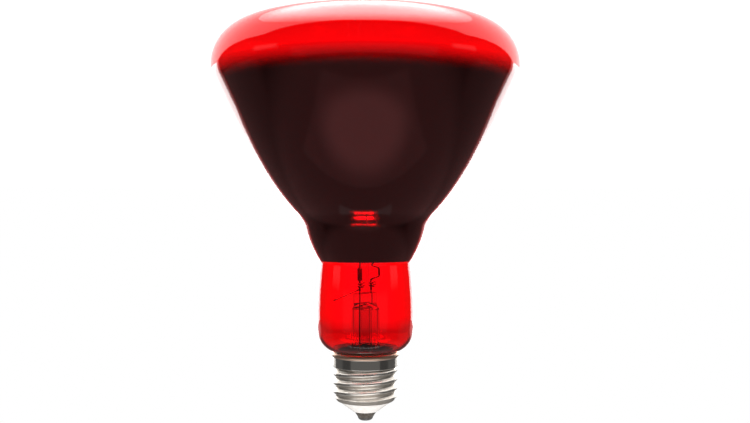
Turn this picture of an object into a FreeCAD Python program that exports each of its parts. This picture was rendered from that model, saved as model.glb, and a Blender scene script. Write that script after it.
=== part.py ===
import FreeCAD
import Part
import math
import os

# Infrared reflector lamp: a blown ruby glass bulb, mirrored inside, on a screw cap.
# Lengths are millimetres and angles are degrees. The origin is the flat tip of the end contact
# and +Z runs along the lamp's axis, from the cap to the face. The outline's slopes are angles
# between the wall and the axis.

# Screw cap
tip_radius = 1.6
solder_radius = 3.1
solder_height = 1.3
contact_radius = 4.6
contact_depth = 2.4
contact_sheet = 0.5
contact_hole_radius = 1.1
insulator_nose_rim = 0.5
insulator_cone_height = 4.3
insulator_top_rise = 2.4
insulator_hole_radius = 0.9
shell_sheet = 0.35
shell_lip_width = 1.05
thread_crest_radius = 13.1
thread_depth = 1.1
thread_pitch = 3.629
thread_ridge_width = 2.5
thread_length = 13.4
thread_start_angle = 150.0
thread_run_out = 1.0
band_ramp = 0.7
band_length = 3.9
band_radius = 13.2
bead_radius = 1.45
bead_half_angle = 50.0
cement_thickness = 0.95
side_lead_reach = 0.1
side_solder_radius = 1.05

# Bulb
bulb_diameter = 125.0
glass_wall = 0.9
face_crown_radius = 180.0
shoulder_radius = 17.2
reflector_foot_slope = 44.9
hip_hollow_radius = 11.0
hip_top_slope = 16.2
hip_radius = 57.0
hip_foot_slope = 31.8
crease_radius = 3.0
neck_radius = 20.0
neck_upper_curve = 168.0
neck_top_slope = 7.2
neck_lower_curve = 40.0
neck_foot_slope = 10.8
tuck_radius = 8.8
tail_fillet = 1.3
tail_seat_depth = 1.22
coating_thickness = 0.1
coating_edge_slope = 1.5
coating_foot_slope = 16.0

# Stem and mount, which stands turned about the axis inside the neck
mount_turn = 50.0
stem_wall = 1.0
stem_tube_height = 15.8
press_taper_height = 2.5
press_height = 4.0
press_width = 12.4
press_thickness = 4.6
exhaust_radius = 2.4
exhaust_wall = 0.7
exhaust_length = 26.3
exhaust_port_radius = 0.8
cane_radius = 1.5
cane_height = 20.2
button_radius = 2.6
button_height = 4.0

# Wires
lead_gap = 0.9
outer_lead_radius = 0.25
seal_wire_radius = 0.22
seal_wire_reach = 1.0
inner_lead_radius = 0.4
inner_lead_rise = 12.0
inner_lead_bend = 4.0
lead_bow_rise = 4.6
lead_bow_width = 3.3
lead_bow_slant = 1.2
lead_bow_length = 3.4
lead_bow_bend = 0.9
outer_lead_bend = 0.7
outer_lead_clearance = 0.3
lead_end_depth = 0.5
sleeve_radius = 0.95
sleeve_length = 4.9
sleeve_height = 5.3
wire_clearance = 0.03
tie_wire_radius = 0.25
tie_coil_radius = 1.2
tie_turns = 2.0
tie_pitch = 1.1
tie_height = 2.4
brace_radius = 0.22
brace_height = 1.6
brace_drop = 3.2

# Filament
filament_ring_radius = 11.0
filament_radius = 0.6
filament_gap_angle = 50.0
support_count = 5
support_wire_radius = 0.22
support_hook_angle = 230.0
support_root_depth = 1.3
hook_clearance = 0.1
clamp_width = 2.4
clamp_length = 2.0
clamp_height = 3.4

# Cap heights, stacked up from the tip
contact_top = solder_height + contact_depth
shell_foot = contact_top + insulator_cone_height
thread_top = shell_foot + thread_length
band_foot = thread_top + band_ramp
band_top = band_foot + band_length
bead_half_height = bead_radius * math.sin(math.radians(bead_half_angle))
bead_middle = band_top + bead_half_height
rim_top = bead_middle + bead_half_height
side_lead_top = bead_middle + side_lead_reach
insulator_top = shell_foot + shell_lip_width + insulator_top_rise

# Cap radii, from the thread and the sheet
thread_root_radius = thread_crest_radius - thread_depth
shell_bore = thread_root_radius - shell_sheet
band_bore = band_radius - shell_sheet
lip_radius = thread_root_radius - shell_lip_width
bead_centre_radius = band_radius - bead_radius * math.cos(math.radians(bead_half_angle))
bead_bore = bead_radius - shell_sheet
tail_radius = band_bore - cement_thickness
tail_bore = tail_radius - glass_wall

# Mount heights and radii, stacked up from the side lead's run under the bulb's tail
tail_top = rim_top - tail_seat_depth
side_lead_run = band_foot + outer_lead_radius + outer_lead_clearance
tail_foot = side_lead_run + outer_lead_radius + outer_lead_clearance + stem_wall
lead_offset = exhaust_radius + lead_gap + outer_lead_radius
stem_bore = lead_offset + outer_lead_radius + lead_gap
stem_radius = stem_bore + stem_wall
flare_radius = tail_bore - stem_radius
stem_tube_top = tail_foot + flare_radius + stem_tube_height
press_foot = stem_tube_top + press_taper_height
press_top = press_foot + press_height
inner_lead_foot = press_top + seal_wire_reach
outer_lead_top = stem_tube_top - seal_wire_reach
exhaust_foot = stem_tube_top - exhaust_length
cane_top = press_top + cane_height
button_foot = cane_top - button_height

UP = FreeCAD.Vector(0, 0, 1)
ORIGIN = FreeCAD.Vector(0, 0, 0)
FULL_TURN = 360.0
MOUTH_TRIES = 30


def at(radius, height):
    """Point in the radial plane through +X."""
    return FreeCAD.Vector(radius, 0, height)


def normal(slope):
    """Outward direction of a wall in the radial plane, tilted up by an angle."""
    return FreeCAD.Vector(math.cos(math.radians(slope)), 0, math.sin(math.radians(slope)))


def line(start, end):
    """Straight edge."""
    return Part.makeLine(start, end)


def arc(start, middle, end):
    """Circular edge through three points."""
    return Part.Arc(start, middle, end).toShape()


def revolved(edges):
    """Solid of revolution about the lamp's axis from a closed half section."""
    return Part.Face(Part.Wire(edges)).revolve(ORIGIN, UP, FULL_TURN)


def polygon_revolved(points):
    """Solid of revolution from a half section with straight sides."""
    return Part.Face(Part.makePolygon(points + points[:1])).revolve(ORIGIN, UP, FULL_TURN)


def rod(radius, foot, top, centre=0.0):
    """Upright cylinder between two heights, standing off the axis along X."""
    return Part.makeCylinder(radius, top - foot, at(centre, foot), UP)


def mount_placed(shape):
    """Turns a piece of the mount about the axis to the way it stands in the neck."""
    return shape.rotated(ORIGIN, UP, mount_turn)


def rightward(length):
    """Step along the lamp's +X, as it lies in the mount before the mount is turned."""
    turn = math.radians(mount_turn)
    return FreeCAD.Vector(math.cos(turn), -math.sin(turn), 0) * length


def bent_wire(points, bend, radius):
    """Round wire along straight runs joined by tangent arcs."""
    edges = []
    start = points[0]
    for corner, after in zip(points[1:-1], points[2:]):
        arriving = (corner - start).normalize()
        leaving = (after - corner).normalize()
        half_turn = arriving.getAngle(leaving) / 2
        setback = bend * math.tan(half_turn)
        inward = (leaving - arriving).normalize()
        arc_start = corner - arriving * setback
        arc_end = corner + leaving * setback
        middle = corner + inward * (bend / math.cos(half_turn) - bend)
        edges.append(line(start, arc_start))
        edges.append(arc(arc_start, middle, arc_end))
        start = arc_end
    edges.append(line(start, points[-1]))
    return swept(edges, points[0], points[1] - points[0], radius)


def swept(edges, start, direction, radius):
    """Round wire swept along joined edges."""
    section = Part.Wire(Part.makeCircle(radius, start, direction))
    return Part.Wire(edges).makePipeShell([section], True, False)


def bulb_arcs():
    """The bulb's outline from the foot of the tail to the top of the face.

    Each named piece is (start point, end point, start slope, end slope, radius); a negative
    radius is a hollow curve. The reflector's piece has no radius, because it is a parabola.
    """
    pieces = {}
    place = at(tail_radius, tail_top)

    def curve(name, radius, start_slope, end_slope):
        nonlocal place
        start = place
        place = start + (normal(end_slope) - normal(start_slope)) * radius
        pieces[name] = (start, place, start_slope, end_slope, radius)

    below_tuck = neck_radius - neck_lower_curve * (1 - math.cos(math.radians(neck_foot_slope)))
    reach = tuck_radius * math.cos(math.radians(neck_foot_slope)) + tail_fillet
    tuck_slope = math.degrees(math.acos((tail_radius - below_tuck + reach) / (tuck_radius + tail_fillet)))
    curve("tail fillet", -tail_fillet, 0, -tuck_slope)
    curve("tuck", tuck_radius, -tuck_slope, -neck_foot_slope)
    curve("lower neck", neck_lower_curve, -neck_foot_slope, 0)
    curve("upper neck", neck_upper_curve, 0, neck_top_slope)
    curve("bare crease", -crease_radius, neck_top_slope, -coating_foot_slope)
    curve("mirrored crease", -crease_radius, -coating_foot_slope, -hip_foot_slope)
    curve("hip", hip_radius, -hip_foot_slope, -hip_top_slope)
    curve("hip hollow", -hip_hollow_radius, -hip_top_slope, -reflector_foot_slope)

    foot = place
    focal = foot.x * math.tan(math.radians(reflector_foot_slope)) / 2
    mouth = bulb_diameter / 2
    for _ in range(MOUTH_TRIES):
        mouth_slope = math.degrees(math.atan(2 * focal / mouth))
        mouth = bulb_diameter / 2 - shoulder_radius * (1 - math.cos(math.radians(mouth_slope)))
    vertex = foot.z - foot.x ** 2 / (4 * focal)
    place = at(mouth, vertex + mouth ** 2 / (4 * focal))
    pieces["reflector"] = (foot, place, -reflector_foot_slope, -mouth_slope, None)
    shoulder_centre = bulb_diameter / 2 - shoulder_radius
    crown_slope = math.degrees(math.acos(shoulder_centre / (face_crown_radius - shoulder_radius)))
    curve("mirrored shoulder", shoulder_radius, -mouth_slope, -coating_edge_slope)
    curve("bare shoulder", shoulder_radius, -coating_edge_slope, crown_slope)
    curve("crown", face_crown_radius, crown_slope, 90)
    return pieces, vertex + focal


OUTLINE, FOCUS_HEIGHT = bulb_arcs()
WHOLE = list(OUTLINE)
MIRRORED = WHOLE[WHOLE.index("mirrored crease"):WHOLE.index("bare shoulder")]


def outline_edge(name, inset):
    """One edge of the bulb's outline, moved inwards by an inset along its own normals."""
    start, end, start_slope, end_slope, radius = OUTLINE[name]
    first = start - normal(start_slope) * inset
    last = end - normal(end_slope) * inset
    if radius is None:
        # The middle pole of a parabola is where its end tangents cross.
        along = FreeCAD.Vector(-normal(start_slope).z, 0, normal(start_slope).x)
        across = normal(end_slope)
        reach = (last - first).dot(across) / along.dot(across)
        parabola = Part.BezierCurve()
        parabola.setPoles([first, first + along * reach, last])
        return parabola.toShape()
    middle_slope = (start_slope + end_slope) / 2
    middle = start + (normal(middle_slope) - normal(start_slope)) * radius - normal(middle_slope) * inset
    return arc(first, middle, last)


def outline_edges(inset, names):
    """Neighbouring edges of the outline, moved inwards by an inset."""
    return [outline_edge(name, inset) for name in names]


def end_points(edges):
    """First and last points of a chain of edges drawn from the tail upwards."""
    return edges[0].valueAt(edges[0].FirstParameter), edges[-1].valueAt(edges[-1].LastParameter)


def neck_bore(height):
    """Inner radius of the neck above its widest point."""
    widest = OUTLINE["upper neck"][0]
    inner_curve = neck_upper_curve - glass_wall
    return widest.x - neck_upper_curve + math.sqrt(inner_curve ** 2 - (height - widest.z) ** 2)


def make_glass_envelope():
    """Blown bulb of even wall, open only at the foot of its tail."""
    outer = outline_edges(0, WHOLE)
    inner = outline_edges(glass_wall, WHOLE)
    outer_foot, outer_top = end_points(outer)
    inner_foot, inner_top = end_points(inner)
    foot_outside = at(tail_radius, tail_foot)
    foot_inside = at(tail_bore, tail_foot)
    section = [line(foot_outside, outer_foot)] + outer + [line(outer_top, inner_top)]
    section += list(reversed(inner)) + [line(inner_foot, foot_inside), line(foot_inside, foot_outside)]
    return revolved(section)


def make_reflector_coating():
    """Metal film on the inside of the bulb, from the neck's crease to the shoulder."""
    outer = outline_edges(glass_wall, MIRRORED)
    inner = outline_edges(glass_wall + coating_thickness, MIRRORED)
    outer_foot, outer_top = end_points(outer)
    inner_foot, inner_top = end_points(inner)
    section = outer + [line(outer_top, inner_top)] + list(reversed(inner)) + [line(inner_foot, outer_foot)]
    return revolved(section)


def make_glass_stem(seal_wires):
    """Flared glass tube, fused to the tail's foot, with a flat press around the seal wires."""
    turn = math.radians(45)
    outer_ring = flare_radius + stem_wall
    flare_end = stem_radius + flare_radius
    flare_top = tail_foot + flare_radius

    def flare_arc(radius):
        middle = at(flare_end - radius * math.cos(turn), flare_top - radius * math.sin(turn))
        return arc(at(flare_end - radius, flare_top), middle, at(flare_end, flare_top - radius))

    section = [
        line(at(stem_radius, stem_tube_top), at(stem_radius, flare_top)),
        flare_arc(flare_radius),
        line(at(flare_end, tail_foot), at(tail_radius, tail_foot)),
        line(at(tail_radius, tail_foot), at(tail_radius, tail_foot - stem_wall)),
        line(at(tail_radius, tail_foot - stem_wall), at(flare_end, tail_foot - stem_wall)),
        flare_arc(outer_ring),
        line(at(stem_bore, flare_top), at(stem_bore, stem_tube_top)),
        line(at(stem_bore, stem_tube_top), at(stem_radius, stem_tube_top)),
    ]
    tube = revolved(section)
    round_end = Part.Wire(Part.makeCircle(stem_radius, at(0, stem_tube_top), UP))
    taper = Part.makeLoft([round_end, press_outline(press_foot)], True)
    press = Part.Face(press_outline(press_foot)).extrude(UP * press_height)
    stem = tube.fuse([taper, press]).removeSplitter()
    port_height = stem_tube_top + press_taper_height / 2
    passage = rod(exhaust_radius - exhaust_wall, stem_tube_top, port_height)
    port_start = FreeCAD.Vector(0, -stem_radius, port_height)
    port = Part.makeCylinder(exhaust_port_radius, 2 * stem_radius, port_start, FreeCAD.Vector(0, 1, 0))
    return stem.cut([passage.fuse(port)] + seal_wires)


def press_outline(height):
    """Outline of the press: a flat bar with round ends."""
    half_flat = (press_width - press_thickness) / 2
    half_thick = press_thickness / 2

    def corner(x, y):
        return FreeCAD.Vector(x, y, height)

    return Part.Wire([
        line(corner(-half_flat, -half_thick), corner(half_flat, -half_thick)),
        arc(corner(half_flat, -half_thick), corner(press_width / 2, 0), corner(half_flat, half_thick)),
        line(corner(half_flat, half_thick), corner(-half_flat, half_thick)),
        arc(corner(-half_flat, half_thick), corner(-press_width / 2, 0), corner(-half_flat, -half_thick)),
    ])


def make_exhaust_tube():
    """Pump tube under the press, melted shut to a round tip."""
    bore = exhaust_radius - exhaust_wall
    tip_centre = exhaust_foot + exhaust_radius
    turn = math.radians(-45)

    def tip_arc(radius):
        middle = at(radius * math.cos(turn), tip_centre + radius * math.sin(turn))
        return arc(at(radius, tip_centre), middle, at(0, tip_centre - radius))

    return revolved([
        line(at(bore, stem_tube_top), at(exhaust_radius, stem_tube_top)),
        line(at(exhaust_radius, stem_tube_top), at(exhaust_radius, tip_centre)),
        tip_arc(exhaust_radius),
        line(at(0, exhaust_foot), at(0, exhaust_foot + exhaust_wall)),
        tip_arc(bore),
        line(at(bore, tip_centre), at(bore, stem_tube_top)),
    ])


def make_support_cane(supports):
    """Glass rod on the press, with a button that holds the filament's supports."""
    rounding = button_height / 2
    middle = button_foot + rounding
    bulge = at(button_radius, middle)
    button = revolved([
        line(at(0, button_foot), at(cane_radius, button_foot)),
        arc(at(cane_radius, button_foot), bulge, at(cane_radius, cane_top)),
        line(at(cane_radius, cane_top), at(0, cane_top)),
        line(at(0, cane_top), at(0, button_foot)),
    ])
    return rod(cane_radius, press_top, button_foot).fuse(button).removeSplitter().cut(supports)


def make_seal_wire(side):
    """Straight sealing wire through the press; side is -1 or 1."""
    return rod(seal_wire_radius, outer_lead_top, inner_lead_foot, side * lead_offset)


def make_outer_lead_centre():
    """Lead from the left sealing wire down the stem to the end contact."""
    crossing = exhaust_foot - outer_lead_bend
    return bent_wire([
        at(-lead_offset, outer_lead_top),
        at(-lead_offset, crossing),
        at(0, crossing - lead_offset),
        at(0, lead_end_depth),
    ], outer_lead_bend, outer_lead_radius)


def make_outer_lead_side():
    """Lead from the right sealing wire, under the tail and up beside it into the cap's bead."""
    channel = (tail_radius + band_bore) / 2
    return bent_wire([
        at(lead_offset, outer_lead_top),
        at(lead_offset, side_lead_run),
        at(channel, side_lead_run),
        at(channel, side_lead_top),
    ], outer_lead_bend, outer_lead_radius)


def clamp_centre(side):
    """Place of one end of the filament; side is -1 or 1."""
    angle = math.radians(filament_gap_angle / 2)
    ring = filament_ring_radius
    return FreeCAD.Vector(side * ring * math.sin(angle), -ring * math.cos(angle), FOCUS_HEIGHT)


def lead_end(side):
    """Foot and top of the upright run that ends an inner lead; side is -1 or 1."""
    end = clamp_centre(side)
    foot = end - UP * (clamp_height / 2 + inner_lead_bend)
    return [foot, end - UP * (filament_radius + wire_clearance)]


def make_inner_lead_left():
    """Straight lead from the press up to one end of the filament."""
    start = at(-lead_offset, inner_lead_foot)
    points = [start, start + UP * inner_lead_rise] + lead_end(-1)
    return bent_wire(points, inner_lead_bend, inner_lead_radius)


def make_inner_lead_right():
    """Lead from the press to the other end of the filament, bowed out to take up its heat."""
    start = at(lead_offset, inner_lead_foot)
    bow_foot = start + UP * lead_bow_rise
    out_foot = bow_foot + UP * lead_bow_slant + rightward(lead_bow_width)
    out_top = out_foot + UP * lead_bow_length
    bow_top = out_top + UP * lead_bow_slant - rightward(lead_bow_width)
    points = [start, bow_foot, out_foot, out_top, bow_top] + lead_end(1)
    return bent_wire(points, lead_bow_bend, inner_lead_radius)


def make_lead_clamp(side, lead, filament):
    """Nickel clip that holds one end of the filament on its lead."""
    end = clamp_centre(side)
    corner = FreeCAD.Vector(-clamp_length / 2, -clamp_width / 2, -clamp_height / 2)
    block = Part.makeBox(clamp_length, clamp_width, clamp_height, corner)
    boxes = [(edge, edge.BoundBox) for edge in block.Edges]
    upright = [edge for edge, box in boxes if box.ZLength > box.XLength + box.YLength]
    block = block.makeFillet(inner_lead_radius, upright)
    turned = block.rotated(ORIGIN, UP, side * filament_gap_angle / 2)
    return turned.translated(end).cut([lead, filament])


def make_lead_sleeve():
    """Crimped sleeve on the left inner lead."""
    foot = press_top + sleeve_height
    outside = rod(sleeve_radius, foot, foot + sleeve_length, -lead_offset)
    return outside.cut(rod(inner_lead_radius + wire_clearance, foot, foot + sleeve_length, -lead_offset))


def make_tie_wire(side):
    """Loose turns of thin wire that hang on an inner lead; side is -1 or 1."""
    coil = Part.makeHelix(tie_pitch, tie_pitch * tie_turns, tie_coil_radius)
    direction = FreeCAD.Vector(0, tie_coil_radius, tie_pitch / (2 * math.pi))
    section = Part.Wire(Part.makeCircle(tie_wire_radius, at(tie_coil_radius, 0), direction))
    wound = Part.Wire(coil).makePipeShell([section], True, True)
    slack = tie_coil_radius - inner_lead_radius - wire_clearance - tie_wire_radius
    return wound.translated(at(side * lead_offset, press_top + tie_height) + rightward(slack))


def make_brace_wire():
    """Spring wire from the left lead out to the neck's wall."""
    inner_end = press_top + brace_height
    outer_end = inner_end - brace_drop
    start = at(-lead_offset - inner_lead_radius - brace_radius, inner_end)
    wall = at(-neck_bore(outer_end) + brace_radius + hook_clearance, outer_end)
    return swept([line(start, wall)], start, wall - start, brace_radius)


def make_filament():
    """Coiled tungsten wire in a ring about the reflector's focus, as its outer tube."""
    start = -90 + filament_gap_angle / 2
    section = Part.Face(Part.Wire(Part.makeCircle(filament_radius, at(filament_ring_radius, FOCUS_HEIGHT),
                                                  FreeCAD.Vector(0, 1, 0))))
    ring = section.revolve(ORIGIN, UP, FULL_TURN - filament_gap_angle)
    return ring.rotated(ORIGIN, UP, start)


def make_filament_support(number):
    """Wire from the cane's button out to the filament, hooked round it."""
    hook = filament_radius + hook_clearance + support_wire_radius
    root = at(button_radius - support_root_depth, button_foot + button_height / 2)
    centre = at(filament_ring_radius, FOCUS_HEIGHT)
    span = centre - root
    lean = math.asin(hook / span.Length)
    rise = math.atan2(span.z, span.x)
    along = math.degrees(rise - lean)
    touch = root + normal(along) * (span.Length * math.cos(lean))

    def hook_point(share):
        swing = along + 90 + share * support_hook_angle
        return centre - normal(swing) * hook

    path = [line(root, touch), arc(touch, hook_point(0.5), hook_point(1.0))]
    wire = swept(path, root, touch - root, support_wire_radius)
    spread = (FULL_TURN - filament_gap_angle) / (support_count + 1)
    return wire.rotated(ORIGIN, UP, -90 + filament_gap_angle / 2 + (number + 1) * spread)


def thread_ridge():
    """Right-handed round ridge of the thread.

    It runs out on a cone above the lip, and ends inside the plain band.
    """
    sunk = thread_root_radius - shell_sheet / 2
    half = thread_ridge_width / 2
    foot = shell_foot - thread_pitch
    height = (band_foot + band_top) / 2 - foot
    path = Part.makeHelix(thread_pitch, height, thread_root_radius)
    section = Part.Wire([
        line(at(sunk, half), at(sunk, -half)),
        arc(at(sunk, -half), at(thread_crest_radius, 0), at(sunk, half)),
    ])
    ridge = Part.Wire(path).makePipeShell([section], True, True)
    ridge = ridge.rotated(ORIGIN, UP, thread_start_angle).translated(at(0, foot))
    run_out_foot = shell_foot + shell_lip_width
    reach = 2 * thread_depth
    keep = polygon_revolved([
        at(0, run_out_foot),
        at(sunk, run_out_foot),
        at(sunk + reach, run_out_foot + reach * thread_run_out),
        at(sunk + reach, rim_top),
        at(0, rim_top),
    ])
    return ridge.common(keep)


def bead_point(radius, angle):
    """Point of the shell's bead, at a radius about its centre and an angle up from level."""
    return at(bead_centre_radius, bead_middle) + normal(angle) * radius


def bead_foot_angle(radius, bore):
    """Angle down to where an arc of the bead meets the plain band's face."""
    return math.degrees(math.acos((bore - bead_centre_radius) / radius))


def shell_form(inset):
    """Filled form of the screw shell without its thread, moved inwards by an inset."""
    root = thread_root_radius - inset
    band = band_radius - inset
    lip = shell_lip_width - inset
    lip_middle = math.sqrt(0.5) * lip
    lip_centre = at(lip_radius, shell_foot + shell_lip_width)
    bead = bead_radius - inset
    foot_angle = bead_foot_angle(bead, band)
    bead_foot = bead_point(bead, -foot_angle)
    bead_end = bead_point(bead, bead_half_angle)
    rim = bead_point(bead_radius, bead_half_angle)
    rim_edge = [line(bead_end, rim)] if inset else []
    return revolved([
        line(at(0, shell_foot + inset), at(lip_radius, shell_foot + inset)),
        arc(at(lip_radius, shell_foot + inset), lip_centre + at(lip_middle, -lip_middle),
            at(root, shell_foot + shell_lip_width)),
        line(at(root, shell_foot + shell_lip_width), at(root, thread_top)),
        line(at(root, thread_top), at(band, band_foot)),
        line(at(band, band_foot), bead_foot),
        arc(bead_foot, bead_point(bead, (bead_half_angle - foot_angle) / 2), bead_end),
    ] + rim_edge + [
        line(rim, at(0, rim_top)),
        line(at(0, rim_top), at(0, shell_foot + inset)),
    ])


def make_screw_shell():
    """Cap shell of formed sheet: rolled lip, round thread, plain band and beaded rim."""
    mouth = rod(lip_radius, shell_foot - shell_sheet, shell_foot + shell_lip_width)
    return shell_form(0).fuse(thread_ridge()).cut(shell_form(shell_sheet)).cut(mouth)


def make_cap_insulator():
    """White glass button that holds the end contact clear of the shell."""
    lip = shell_lip_width - shell_sheet
    lip_middle = math.sqrt(0.5) * lip
    lip_centre = at(lip_radius, shell_foot + shell_lip_width)
    nose_foot = solder_height + contact_sheet
    slant = (contact_radius - solder_radius) / contact_depth
    dish_rim = contact_radius - contact_sheet
    dish_foot = dish_rim - slant * (contact_top - nose_foot)
    return revolved([
        line(at(insulator_hole_radius, nose_foot), at(dish_foot, nose_foot)),
        line(at(dish_foot, nose_foot), at(dish_rim, contact_top)),
        line(at(dish_rim, contact_top), at(contact_radius + insulator_nose_rim, contact_top)),
        line(at(contact_radius + insulator_nose_rim, contact_top), at(lip_radius, shell_foot)),
        line(at(lip_radius, shell_foot), at(lip_radius, shell_foot + shell_sheet)),
        arc(at(lip_radius, shell_foot + shell_sheet), lip_centre + at(lip_middle, -lip_middle),
            at(shell_bore, shell_foot + shell_lip_width)),
        line(at(shell_bore, shell_foot + shell_lip_width), at(shell_bore, insulator_top)),
        line(at(shell_bore, insulator_top), at(insulator_hole_radius, insulator_top)),
        line(at(insulator_hole_radius, insulator_top), at(insulator_hole_radius, nose_foot)),
    ])


def make_centre_contact():
    """Dished brass plate pressed into the insulator, with a hole for the lead."""
    nose_foot = solder_height + contact_sheet
    slant = (contact_radius - solder_radius) / contact_depth
    dish_rim = contact_radius - contact_sheet
    dish_foot = dish_rim - slant * (contact_top - nose_foot)
    return polygon_revolved([
        at(contact_hole_radius, solder_height),
        at(solder_radius, solder_height),
        at(contact_radius, contact_top),
        at(dish_rim, contact_top),
        at(dish_foot, nose_foot),
        at(contact_hole_radius, nose_foot),
    ])


def make_contact_solder(lead):
    """Solder drop on the end contact, flat at its tip, round the end of the lead."""
    shoulder = at((tip_radius + solder_radius) / 2 + solder_height / 4, solder_height / 3)
    drop = revolved([
        line(at(0, 0), at(tip_radius, 0)),
        arc(at(tip_radius, 0), shoulder, at(solder_radius, solder_height)),
        line(at(solder_radius, solder_height), at(0, solder_height)),
        line(at(0, solder_height), at(0, 0)),
    ])
    plug = rod(contact_hole_radius, solder_height, solder_height + contact_sheet)
    return drop.fuse(plug).removeSplitter().cut(lead)


def make_basing_cement(lead):
    """Ring of cement that fixes the bulb's tail in the shell, up to the end of its straight wall."""
    foot_angle = bead_foot_angle(bead_bore, band_bore)
    top_angle = math.degrees(math.asin((tail_top - bead_middle) / bead_bore))
    bead_foot = bead_point(bead_bore, -foot_angle)
    bead_side = bead_point(bead_bore, top_angle)
    ring = revolved([
        line(at(tail_radius, band_foot), at(band_bore, band_foot)),
        line(at(band_bore, band_foot), bead_foot),
        arc(bead_foot, bead_point(bead_bore, (top_angle - foot_angle) / 2), bead_side),
        line(bead_side, at(tail_radius, tail_top)),
        line(at(tail_radius, tail_top), at(tail_radius, band_foot)),
    ])
    return ring.cut(lead)


def make_side_solder(neighbours):
    """Solder drop that joins the side lead to the cap's rim."""
    channel = (tail_radius + band_bore) / 2
    return Part.makeSphere(side_solder_radius, at(channel, side_lead_top)).cut(neighbours)


def build_nodes():
    """Makes every piece of the lamp, by name."""
    seal_wires = {"left": make_seal_wire(-1), "right": make_seal_wire(1)}
    supports = [make_filament_support(number) for number in range(support_count)]
    outer_lead_centre = make_outer_lead_centre()
    outer_lead_side = make_outer_lead_side()
    filament = make_filament()
    mount = {
        "glass_stem": make_glass_stem(list(seal_wires.values())),
        "exhaust_tube": make_exhaust_tube(),
        "support_cane": make_support_cane(supports),
        "outer_lead_centre": outer_lead_centre,
        "outer_lead_side": outer_lead_side,
        "lead_sleeve": make_lead_sleeve(),
        "brace_wire": make_brace_wire(),
        "filament": filament,
    }
    for side, name, lead in ((-1, "left", make_inner_lead_left()), (1, "right", make_inner_lead_right())):
        mount["seal_wire_" + name] = seal_wires[name]
        mount["inner_lead_" + name] = lead
        mount["tie_wire_" + name] = make_tie_wire(side)
        mount["lead_clamp_" + name] = make_lead_clamp(side, lead, filament)
    for number, support in enumerate(supports):
        mount["filament_support_" + str(number + 1)] = support

    envelope = make_glass_envelope()
    shell = make_screw_shell()
    cement = make_basing_cement(outer_lead_side)
    side_solder = make_side_solder([envelope, shell, cement, outer_lead_side])
    mount["basing_cement"] = cement
    mount["side_solder"] = side_solder

    nodes = {name: mount_placed(shape) for name, shape in mount.items()}
    nodes["glass_envelope"] = envelope
    nodes["reflector_coating"] = make_reflector_coating()
    nodes["screw_shell"] = shell
    nodes["cap_insulator"] = make_cap_insulator()
    nodes["centre_contact"] = make_centre_contact()
    nodes["contact_solder"] = make_contact_solder(mount_placed(outer_lead_centre))
    return nodes


def main():
    """Writes one file per piece."""
    os.makedirs("parts", exist_ok=True)
    for name, shape in build_nodes().items():
        shape.exportStep(os.path.join("parts", name + ".step"))


main()
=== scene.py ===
"""Infrared reflector lamp: a ruby glass bulb with a mirror film, a glass mount and a screw cap.

Lengths in the classes are millimetres and angles are degrees. The lamp's axis is +Z, its origin is
the tip of the end contact, and meshes are scaled to metres where they are made.
"""
import logging
import math
from dataclasses import dataclass, field
from enum import Enum

import bpy
import numpy as np
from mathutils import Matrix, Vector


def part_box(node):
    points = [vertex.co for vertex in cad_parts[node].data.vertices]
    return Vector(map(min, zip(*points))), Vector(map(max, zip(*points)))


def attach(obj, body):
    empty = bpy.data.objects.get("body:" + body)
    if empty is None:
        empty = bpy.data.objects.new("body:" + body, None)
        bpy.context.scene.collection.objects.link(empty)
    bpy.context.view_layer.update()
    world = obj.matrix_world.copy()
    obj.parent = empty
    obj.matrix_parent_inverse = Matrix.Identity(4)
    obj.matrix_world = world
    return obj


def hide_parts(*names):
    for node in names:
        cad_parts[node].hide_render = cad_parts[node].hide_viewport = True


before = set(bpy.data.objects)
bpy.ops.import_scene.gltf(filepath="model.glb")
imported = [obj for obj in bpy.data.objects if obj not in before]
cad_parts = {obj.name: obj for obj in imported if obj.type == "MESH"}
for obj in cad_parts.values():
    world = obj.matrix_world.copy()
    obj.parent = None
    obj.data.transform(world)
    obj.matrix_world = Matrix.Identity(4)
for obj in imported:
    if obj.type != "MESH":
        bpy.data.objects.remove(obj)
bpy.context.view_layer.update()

log = logging.getLogger("lamp")
Array = np.ndarray
Socket = bpy.types.NodeSocket
Inputs = dict[str | int, object]
Pair = tuple[float, float]
Triple = tuple[float, float, float]
MM = 0.001
BODY = "root"
SHARP_ANGLE = math.radians(50.0)
ARC_POINTS = 3
STRETCH_POINTS = 8
WHITE = "ffffff"


class LampShape(Enum):
    """Outline of a soft lamp."""

    RECTANGLE = "RECTANGLE"
    ELLIPSE = "ELLIPSE"


class Easing(Enum):
    """How a value goes from one end of a span to the other."""

    LINEAR = "LINEAR"
    SMOOTH = "SMOOTHSTEP"


# Shared shapes


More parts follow.
